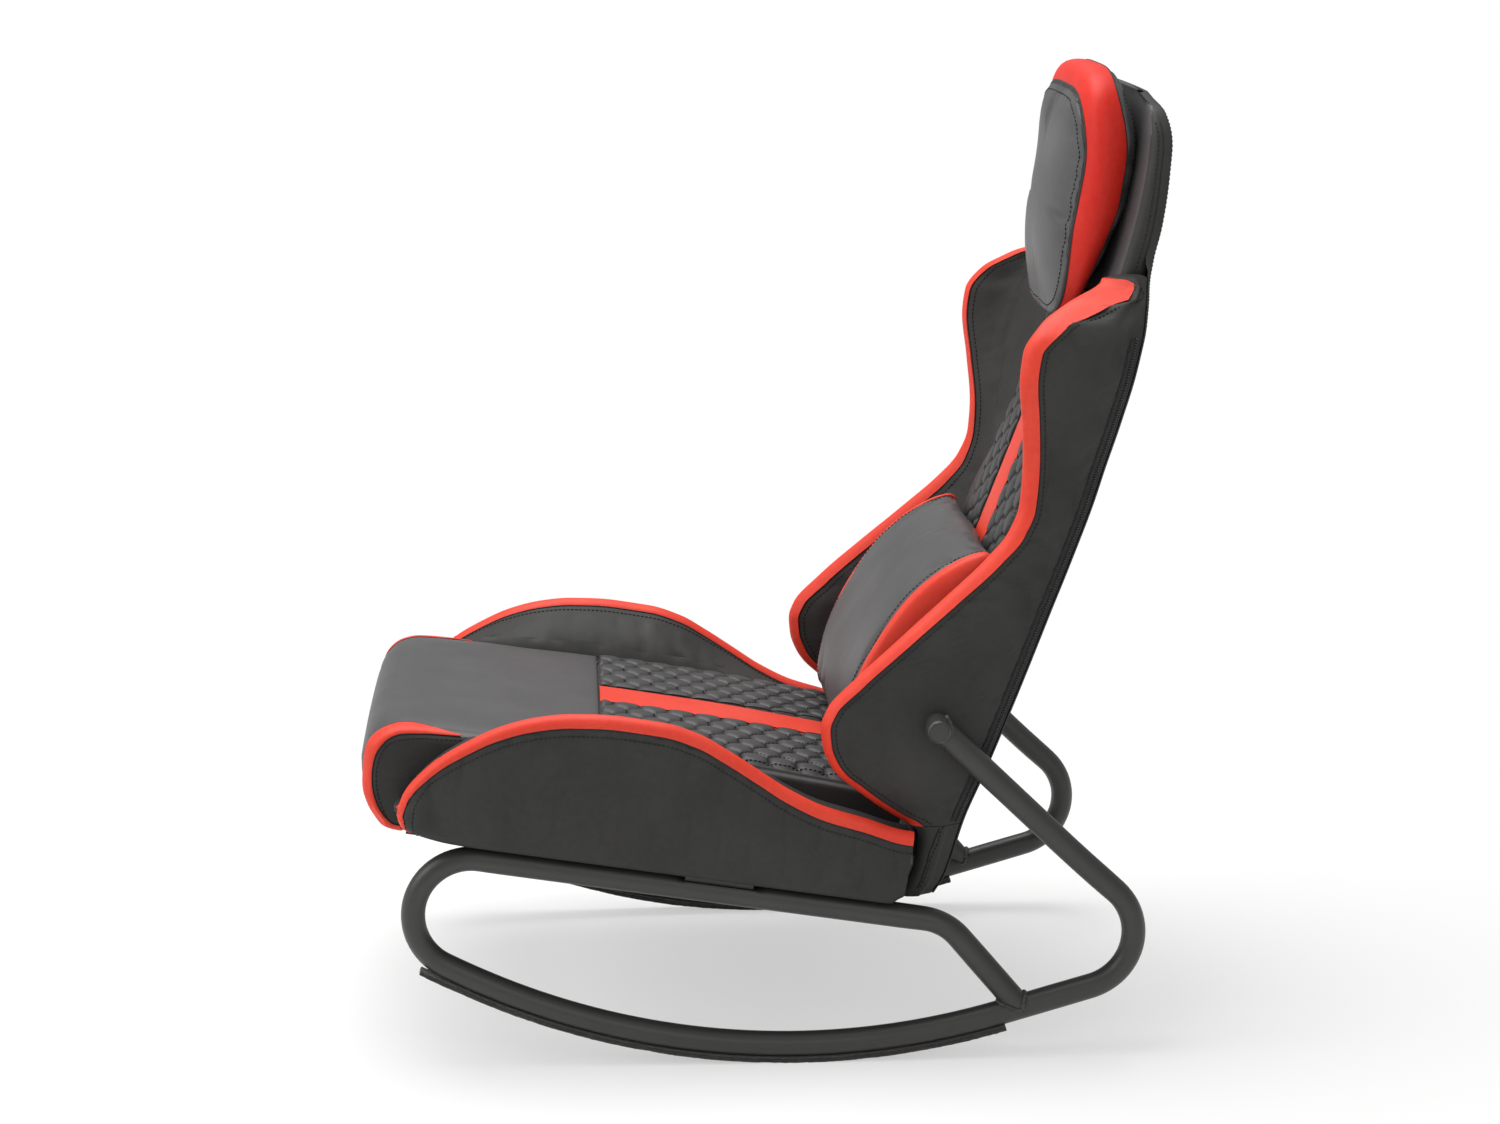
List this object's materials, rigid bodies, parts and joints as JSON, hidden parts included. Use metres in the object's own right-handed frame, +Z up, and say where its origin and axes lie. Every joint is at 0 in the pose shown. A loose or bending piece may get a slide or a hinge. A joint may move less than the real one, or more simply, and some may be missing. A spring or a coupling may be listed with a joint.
{
  "type": "floor rocker chair",
  "caption": "Low racing-style rocker seat with quilted covers, side bolsters, a winged back, head and lumbar pillows, on two bent-tube rocker frames with felt runners.",
  "frame": {"origin": "centre of the outline on the floor, at the height where the runners touch it", "axes": "+Z up, -Y the way the chair faces, +X to the sitter's left"},
  "size_m": [0.5726, 0.8111, 0.9696],
  "materials": {
    "frame_paint": "matt black powder coat",
    "black_cover": "matt black coated cover over foam",
    "quilted_cover": "satin black coated cover over foam, quilted in places",
    "red_cover": "satin red coated cover",
    "plastic": "matt black",
    "felt": "rough felt",
    "plywood": "raw plywood",
    "steel": "zinc plated",
    "webbing": "woven black"
  },
  "bodies": {
    "frame": {"left_side_frame": "frame_paint", "left_felt_strip": "felt", "right_side_frame": "frame_paint", "right_felt_strip": "felt", "front_cross_bar": "frame_paint", "seat_cross_plate": "frame_paint", "seat_screw_1": "steel", "seat_screw_2": "steel", "seat_screw_3": "steel", "seat_screw_4": "steel", "seat_board": "plywood", "seat_cushion": "quilted_cover", "seat_stripe": "red_cover", "left_seat_bolster": "black_cover", "left_seat_band": "red_cover", "left_front_trim": "red_cover", "right_seat_bolster": "black_cover", "right_seat_band": "red_cover", "right_front_trim": "red_cover", "back_frame": "frame_paint", "back_cross_tube": "frame_paint", "back_strap_1": "webbing", "back_strap_2": "webbing", "back_strap_3": "webbing", "back_strap_4": "webbing", "back_pad": "quilted_cover", "back_stripe": "red_cover", "back_rear_panel": "black_cover", "left_side_bracket": "frame_paint", "left_foot_bracket": "frame_paint", "left_back_bolt": "steel", "left_sleeve_cap": "plastic", "left_cover_grommet": "plastic", "left_back_wing": "black_cover", "left_wing_band": "red_cover", "left_back_corner": "black_cover", "left_back_zip": "webbing", "right_side_bracket": "frame_paint", "right_foot_bracket": "frame_paint", "right_back_bolt": "steel", "right_sleeve_cap": "plastic", "right_cover_grommet": "plastic", "right_back_wing": "black_cover", "right_wing_band": "red_cover", "right_back_corner": "black_cover", "right_back_zip": "webbing", "head_patch": "webbing", "lumbar_patch": "webbing"},
    "head_pillow": {"head_pillow": "quilted_cover", "head_pillow_gusset": "red_cover"},
    "lumbar_pillow": {"lumbar_pillow": "quilted_cover", "left_lumbar_side": "red_cover", "right_lumbar_side": "red_cover"}
  },
  "joints": [
    {"name": "head_pillow_slide", "type": "slide", "parent": "frame", "child": "head_pillow", "axis": [0, 0.3201, 0.9474], "range_m": [-0.03, 0]},
    {"name": "lumbar_pillow_slide", "type": "slide", "parent": "frame", "child": "lumbar_pillow", "axis": [0, 0.3616, 0.9323], "range_m": [0, 0.04]}
  ]
}
